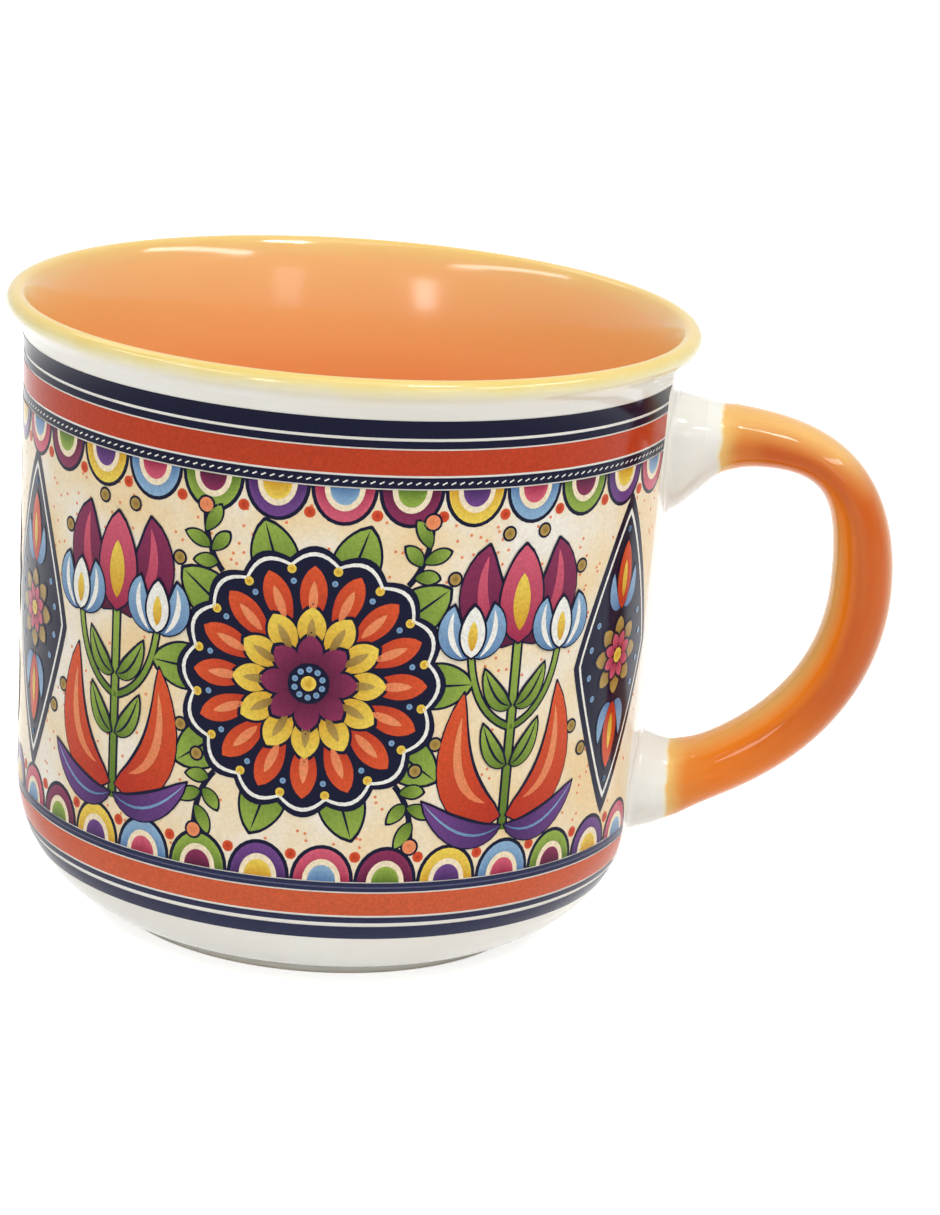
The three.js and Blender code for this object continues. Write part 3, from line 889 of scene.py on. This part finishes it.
def rounds(centre, reach, inner=0.0, lobes=0, depth=0.0, power=2.0, rows=3, cols=16):
    """Discs, rings and lozenges: the outline is (|cos a|^p + |sin a|^p)^(-1/p), pulled in between lobes."""
    centre = np.atleast_2d(centre).astype(float)[:, None, None, :]
    reach = np.reshape(np.broadcast_to(reach, (2,)), (1, 1, 1, 2))
    angle = np.linspace(0, 2 * np.pi, cols + 1)[None, None, :]
    edge = (np.abs(np.cos(angle)) ** power + np.abs(np.sin(angle)) ** power) ** (-1 / power)
    if lobes:
        edge = edge * (1 - depth * (1 - np.abs(np.cos(lobes * angle / 2))))
    r = np.linspace(inner, 1, rows)[None, :, None] * edge
    return centre + reach * np.stack([r * np.cos(angle), r * np.sin(angle)], -1)


def ribbons(root, bend, tip, width, rows=12):
    """Stems: centre lines with the same width all along."""
    _, line, across = spines(root, bend, tip, rows)
    side = np.array([-0.5, 0.5])[None, None, :, None]
    return line[:, :, None] + side * width * across[:, :, None]


def scallops(centre, radius, depth, rows=4, cols=15):
    """Half rounds standing on a border: columns at radius sin t rise to depth cos t."""
    centre = np.atleast_2d(centre).astype(float)[:, None, None, :]
    t = np.linspace(-SCALLOP_SWEEP, SCALLOP_SWEEP, cols)[None, None, :]
    v = np.linspace(0, 1, rows)[None, :, None]
    return centre + np.stack(np.broadcast_arrays(radius * np.sin(t), depth * v * np.cos(t)), -1)


def edged(colour, root, bend, tip, width, layer, edge=0.32, vein=None, **form):
    """Petals in a colour over slightly larger navy ones, with a thin vein where one is named."""
    root, bend, tip = (np.atleast_2d(p).astype(float) for p in (root, bend, tip))
    back = root + edge * unit(root - bend)
    ahead = tip + edge * TIP_EDGE * unit(tip - bend)
    stamp("navy", petals(back, bend, ahead, np.add(width, 2 * edge), **form), layer)
    stamp(colour, petals(root, bend, tip, width, **form), layer + 1)
    if vein:
        stamp(vein, petals(root, bend, tip, VEIN_WIDTH, rows=10, cols=2), layer + 1.5)


def both_ways(at, offsets):
    """Places on the right and on the left of a motif's middle."""
    offsets = np.atleast_2d(offsets).astype(float)
    return np.concatenate([at + offsets, at + offsets * [-1, 1]])


def leaf_pairs(colour, at, root, bend, tip, width, layer, **form):
    """Mirrored leaves about a motif's middle."""
    edged(colour, both_ways(at, root), both_ways(at, bend), both_ways(at, tip), width, layer, **form)


def on_circle(at, radius, count, turn=0.0):
    """Places at even angles round a motif's middle, the first at the top."""
    angle = np.pi / 2 + turn + np.linspace(0, 2 * np.pi, count, endpoint=False)
    return at + radius * np.stack([np.cos(angle), np.sin(angle)], -1)


def petal_ring(colour, at, inner, outer, width, count, layer, turn=0.0, **form):
    """A ring of petals that point away from a flower's middle."""
    root, tip = (on_circle(at, radius, count, turn) for radius in (inner, outer))
    edged(colour, root, (root + tip) / 2, tip, width, layer, **form)


def dahlia(at):
    """A large flower: leaves, a scalloped navy plate, three rings of petals and a beaded eye."""
    petal_ring("green", at, 12, 21.6, 5.8, 10, 1, np.pi / 10, vein="navy")
    stamp("navy", rounds(at, 18, lobes=16, depth=0.08, rows=9, cols=128), 3)
    stamp("white", rounds(at, 17.2, 0.97, lobes=16, depth=0.08, rows=2, cols=128), 4)
    stamp("yellow", rounds(on_circle(at, 15.1, 16, np.pi / 16), 0.6, cols=12, rows=2), 4)
    stamp("sky", rounds(on_circle(at, 13.5, 16, np.pi / 16), 0.4, cols=10, rows=2), 4)
    petal_ring("red", at, 7, 15.4, 3.5, 16, 4, belly=1.3)
    stamp("coral", petals(on_circle(at, 9, 16), on_circle(at, 11, 16), on_circle(at, 13.4, 16), 1.2), 6)
    petal_ring("yellow", at, 4, 10, 3.7, 12, 6, belly=1.2)
    stamp("gold", petals(on_circle(at, 5, 12), on_circle(at, 6.5, 12), on_circle(at, 8.6, 12), 1.1), 8)
    petal_ring("plum", at, 1.5, 6.3, 3.2, 8, 8, belly=1.2)
    stamp("navy", rounds(at, 2.7, cols=24), 10)
    stamp("sky", rounds(on_circle(at, 1.85, 10), 0.4, cols=10, rows=2), 11)
    stamp("yellow", rounds(at, 1.0), 11)


def tulip_head(at, size, outer, inner, layer):
    """A cup of two outer petals, a front petal and a yellow heart, in units of its size."""
    def spot(x, z):
        return np.array(at) + size * np.array([x, z])

    def sides(x, z):
        return np.array(at) + size * np.array([[x, z], [-x, z]])
    edged(outer, sides(0.06, 0), sides(0.62, 0.3), sides(0.42, 1.0), size * 0.5, layer)
    light = petals(sides(0.18, 0), sides(0.5704, 0.36), sides(0.42, 0.9), size * 0.12)
    stamp(inner, light, layer + 1.5)
    edged(inner, spot(0, 0), spot(0, 0.45), spot(0, 0.98), size * 0.5, layer + 2, belly=0.9)
    stamp("yellow", petals(spot(0, 0.12), spot(0, 0.4), spot(0, 0.7), size * 0.2), layer + 4)


def tulip_plant(at):
    """A stem with a tulip, two side buds, broad red leaves, purple foot leaves and berries."""
    base = np.array([at, 0.0])
    stem = base + [0, PLANT_FOOT], base + [0, 36], base + [0, 50]
    stamp("navy", ribbons(*stem, 1.7), 1)
    stamp("green", ribbons(*stem, 1.0), 2)
    shoots = [both_ways(base, offset) for offset in ([0, 38], [6.2, 40], [6.9, 49])]
    stamp("navy", ribbons(*shoots, 1.3), 1)
    stamp("green", ribbons(*shoots, 0.7), 2)
    leaf_pairs("red", base, [0.6, 26], [10.6, 27.5], [7.4, 43], 5.6, 3, belly=0.8)
    lights = [both_ways(base, offset) for offset in ([3, 28], [9, 30], [7.4, 40])]
    stamp("coral", petals(*lights, 1.3), 5)
    leaf_pairs("purple", base, [0.4, 24.6], [6, 21.5], [12, 28.6], 3.6, 5, vein="sky")
    leaves = [[0.4, 33], [0.4, 41]], [[2.6, 33.5], [2.8, 41]], [[4.2, 38.6], [4.6, 46]]
    leaf_pairs("green", base, *leaves, 2.5, 5, vein="navy")
    tulip_head(base + [0, 49.5], 13, "plum", "rose", 5)
    for bud in both_ways(base, [6.9, 48]):
        tulip_head(bud, 6.8, "sky", "white", 9)
    berries = both_ways(base, [[2.7, 64], [9.9, 58.4], [10.9, 36.5], [13.4, 33]])
    stamp("navy", rounds(berries, 1.05, cols=14), 3)
    stamp("gold", rounds(berries, 0.75, cols=14), 4)


def lozenge(at):
    """A navy panel with a white inner line, a star flower, buds above and below, and blue beads."""
    middle = np.array([at, PICTURE_MIDDLE])
    half = np.array([10, 22.2])
    stamp("navy", rounds(middle, half, power=1.15, rows=14, cols=96), 1)
    stamp("white", rounds(middle, half * 0.9, 0.955, power=1.15, rows=2, cols=96), 2)
    petal_ring("gold", middle, 2.2, 5.3, 2.3, 8, 3)
    petal_ring("rose", middle, 1.0, 3.3, 1.6, 8, 5, np.pi / 8)
    stamp("yellow", rounds(middle, 1.0), 7)
    for way in (1, -1):
        edged("red", *(middle + [0, rise * way] for rise in (6.4, 10, 15.6)), 3.6, 3)
        stamp("yellow", petals(*(middle + [0, rise * way] for rise in (8, 10, 13)), 1.2), 5)
        leaf_pairs("sky", middle, [0.6, 6.6 * way], [3, 7 * way], [2.9, 11.6 * way], 1.8, 3)
    beads = both_ways(middle, [[6.6, 1.9], [6.6, -1.9], [5.4, 5], [5.4, -5], [0, 17.2], [0, -17.2]])
    stamp("sky", rounds(beads, 0.45, cols=10, rows=2), 3)


def rosette_plant(at):
    """A rose-coloured rosette on a stem with gold leaves and a crown of green ones."""
    middle = np.array([at, 46.5])
    stem = [at, PLANT_FOOT], [at, 32], [at, 40]
    stamp("navy", ribbons(*stem, 1.7), 1)
    stamp("green", ribbons(*stem, 1.0), 2)
    leaf_pairs("gold", [at, 0], [0.5, 25], [8.6, 24.5], [9.6, 35], 4.4, 3, belly=0.8, vein="navy")
    leaf_pairs("purple", [at, 0], [0.4, 31], [3.4, 30], [5.2, 36], 2.6, 5)
    leaf_pairs("green", middle, [1.5, 8], [5.6, 11], [6.4, 17.6], 3.6, 1, vein="navy")
    leaf_pairs("plum", middle, [0.1, 9], [0.5, 13], [0.6, 18.4], 3.2, 3)
    stamp("navy", rounds(middle, 10.6, lobes=12, depth=0.12, rows=7, cols=96), 3)
    petal_ring("rose", middle, 3, 9.6, 4.3, 12, 4, belly=1.3)
    petal_ring("coral", middle, 1.6, 6.2, 3.0, 8, 6, belly=1.2)
    stamp("navy", rounds(middle, 2.3, cols=24), 8)
    stamp("yellow", rounds(on_circle(middle, 1.3, 7), 0.42, cols=10, rows=2), 9)


def sprig(at, way, up):
    """A curved twig with paired leaves and a berry at its tip."""
    def spot(x, z):
        return np.array(at) + np.array([way * x, up * z])
    stamp("navy", ribbons(spot(0, 0), spot(2.6, 3.0), spot(2.6, 7.6), 0.8), 1)
    roots = (0.8, 1.0), (1.9, 3.0), (1.5, 2.6), (2.5, 5.0)
    tips = (3.9, 0.9), (5.2, 4.4), (-0.6, 5.0), (0.6, 8.4)
    for root, tip in zip(roots, tips):
        root, tip = spot(*root), spot(*tip)
        edged("green", root, (root + tip) / 2 + [0.3, 0.3], tip, 1.7, 2, edge=0.25)
    stamp("navy", rounds(spot(2.6, 8.3), 1.25, cols=14), 3)
    stamp("coral", rounds(spot(2.6, 8.3), 0.95, cols=14), 4)


def borders():
    """Scallops in six colours along the top and foot of the picture, with a red bead between each two."""
    count = 30
    pitch = (PRINT_END - PRINT_START) / count
    along = PRINT_START + pitch * (np.arange(count) + 0.5)
    colours = ("plum", "yellow", "sky", "green", "purple", "rose")
    for height, way in ((PRINT_TOP, -1), (PRINT_FOOT, 1)):
        places = np.stack([along, np.full(count, height)], -1)
        stamp("navy", scallops(places, pitch * 0.5, 4.9 * way), 1)
        for number, colour in enumerate(colours):
            inner = colours[(number + 3) % len(colours)]
            own = places[number::len(colours)]
            stamp(colour, scallops(own, pitch * 0.44, 4.4 * way), 2)
            stamp("cream", scallops(own, pitch * 0.3, 3.0 * way), 3)
            stamp(inner, scallops(own, pitch * 0.22, 2.2 * way), 4)
        between = np.stack([along[:-1] + pitch / 2, np.full(count - 1, height + 3.4 * way)], -1)
        stamp("red", rounds(between, 0.75, cols=12, rows=2), 2)


def speckles():
    """Small coral dots strewn over the ground, from a seeded draw."""
    draw = np.random.default_rng(7)
    count = 1500
    along = draw.uniform(PRINT_START + 1, PRINT_END - 1, count)
    up = draw.uniform(PRINT_FOOT + 1, PRINT_TOP - 1, count)
    stamp("coral", rounds(np.stack([along, up], -1), 0.23, cols=6, rows=2), 0.5)


def rope_dashes():
    """Slanted white stitches along the thin navy stripe over the picture."""
    along = np.arange(PRINT_START + 0.8, PRINT_END - 0.8, 1.15)
    middle = np.stack([along, np.full(len(along), np.mean(UPPER_STRIPES["navy"][2]))], -1)
    half = np.array([0.3, 0.15])
    stamp("white", ribbons(middle - half, middle, middle + half, 0.18, rows=3), 2)


def draw_picture():
    """Flowers, plants and panels, the same on the front and the back, with a rosette between them."""
    speckles()
    borders()
    rope_dashes()
    for middle in (0, -HALF_TURN):
        dahlia(np.array([middle, PICTURE_MIDDLE]))
        for way in (1, -1):
            tulip_plant(middle + 28 * way)
            lozenge(middle + 48.4 * way)
            sprig((middle + 12 * way, 57.6), way, 1)
            sprig((middle + 12 * way, 31), way, -1)
    rosette_plant(-HALF_TURN / 2)


def quads_of(grid, layer):
    """Places, faces and map of a batch of shapes on the wall, cut at the print's ends."""
    count, rows, cols = grid.shape[:3]
    raw = grid[..., 0].ravel()
    z = grid[..., 1].ravel()
    angle = np.clip(raw, PRINT_START, PRINT_END) / PRINT_RADIUS - np.pi / 2
    place, facing = on_wall(angle, z, PRINT_LIFT + layer * INK_LIFT)
    step_i, step_j = grid_faces(rows, cols)
    corners = (step_i * cols + step_j)[None] + (np.arange(count) * rows * cols)[:, None, None]
    corners = corners.reshape(-1, 4)
    uv = np.stack([step_j / (cols - 1), step_i / (rows - 1)], -1)
    uv = np.broadcast_to(uv, (count,) + uv.shape).reshape(-1, 4, 2)
    kept = (raw[corners].min(1) < PRINT_END) & (raw[corners].max(1) > PRINT_START)
    corners, uv = corners[kept], uv[kept]
    a, b, c, d = place[corners.T]
    inward = (np.cross(c - a, d - b) * facing[corners[:, 0]]).sum(1) < 0
    corners[inward] = corners[inward][:, ::-1]
    uv = np.where(inward[:, None, None], uv[:, ::-1], uv)
    return place, facing, corners, uv


def add_picture(inks):
    """One piece for each ink, holding every shape printed in it."""
    draw_picture()
    for colour, stamps in PRINT.items():
        parts = [quads_of(grid, layer) for grid, layer in stamps]
        starts = np.cumsum([0] + [len(part[0]) for part in parts[:-1]])
        place, facing = (np.concatenate([part[k] for part in parts]) for k in (0, 1))
        faces = np.concatenate([part[2] + start for part, start in zip(parts, starts)])
        uv = np.concatenate([part[3] for part in parts])
        mesh = make_mesh(f"picture_{colour}", place, faces, uv, facing)
        add_piece(mesh, "picture_transfer", inks[colour])


# Studio

def background_rays(tree):
    """1 for the rays that show the background: the camera's own, and those sent on by gloss or glass."""
    rays = add_node(tree, "ShaderNodeLightPath").outputs
    mirrored = worked(tree, "MAXIMUM", rays["Is Glossy Ray"], rays["Is Transmission Ray"])
    return worked(tree, "MAXIMUM", rays["Is Camera Ray"], mirrored)


def studio_world():
    """A white background, and an even room light a little stronger from above."""
    world = bpy.data.worlds.new("studio")
    bpy.context.scene.world = world
    world.use_nodes = True
    tree = world.node_tree
    back = tree.nodes["Background"]
    level = spread(tree, split_place(tree, "Generated")["Z"], 0, 1, *ROOM_LIGHT)
    back.inputs["Color"].default_value = (1, 1, 1, 1)
    tree.links.new(worked(tree, "MAXIMUM", level, background_rays(tree)), back.inputs["Strength"])


def floor():
    """A wide pale floor that keeps the mug's shadow and is lifted to white for the background's rays."""
    mesh = bpy.data.meshes.new("floor")
    corners = np.array([(-1, -1, 0), (1, -1, 0), (1, 1, 0), (-1, 1, 0)]) * FLOOR_REACH
    mesh.from_pydata(corners, [], [(0, 1, 2, 3)])
    plane = bpy.data.objects.new("floor", mesh)
    bpy.context.scene.collection.objects.link(plane)
    material, shader, tree = new_material("pale_floor")
    shader.inputs["Base Color"].default_value = (0.85, 0.85, 0.85, 1)
    shader.inputs["Roughness"].default_value = 0.9
    shader.inputs["Specular IOR Level"].default_value = 0
    shader.inputs["Emission Color"].default_value = (1, 1, 1, 1)
    lifted = worked(tree, "MULTIPLY", background_rays(tree), FLOOR_LIFT)
    tree.links.new(lifted, shader.inputs["Emission Strength"])
    mesh.materials.append(material)


def lamp(name, place, size, power):
    """A soft rectangular lamp, aimed at the mug's middle."""
    data = bpy.data.lights.new(name, "AREA")
    data.shape = "RECTANGLE"
    data.size, data.size_y = size
    data.energy = power
    light = bpy.data.objects.new(name, data)
    aim = Vector((0, 0, CUP_HEIGHT * MM / 2))
    light.location = place
    light.rotation_euler = (aim - light.location).to_track_quat("-Z", "Y").to_euler()
    bpy.context.scene.collection.objects.link(light)


def camera():
    """The photo's camera: round the cup's axis, turned, pitched down and rolled."""
    data = bpy.data.cameras.new("camera")
    data.lens = CAMERA_LENS
    data.sensor_width = CAMERA_SENSOR
    data.clip_start = CAMERA_CLIP
    view = bpy.data.objects.new("camera", data)
    round_axis = np.array([np.sin(CAMERA_ROUND), -np.cos(CAMERA_ROUND)]) * CAMERA_DISTANCE
    view.location = Vector((AXIS_X + round_axis[0], round_axis[1], CAMERA_HEIGHT)) * MM
    turn = Matrix.Rotation(CAMERA_TURN, 3, "Z")
    pitch = Matrix.Rotation(np.pi / 2 - CAMERA_PITCH, 3, "X")
    roll = Matrix.Rotation(CAMERA_ROLL, 3, "Z")
    view.rotation_euler = (turn @ pitch @ roll).to_euler()
    bpy.context.scene.collection.objects.link(view)
    bpy.context.scene.camera = view


def main():
    """Every piece of the mug, then the studio and the camera."""
    bpy.context.scene.view_settings.view_transform = "Standard"
    inks = print_inks()
    add_cup()
    add_cup_glazes()
    add_handle()
    add_handle_glaze()
    add_slip_joints()
    add_stripes(inks)
    add_ground()
    add_picture(inks)
    studio_world()
    floor()
    for name, (place, size, power) in LAMPS.items():
        lamp(name, place, size, power)
    camera()


main()
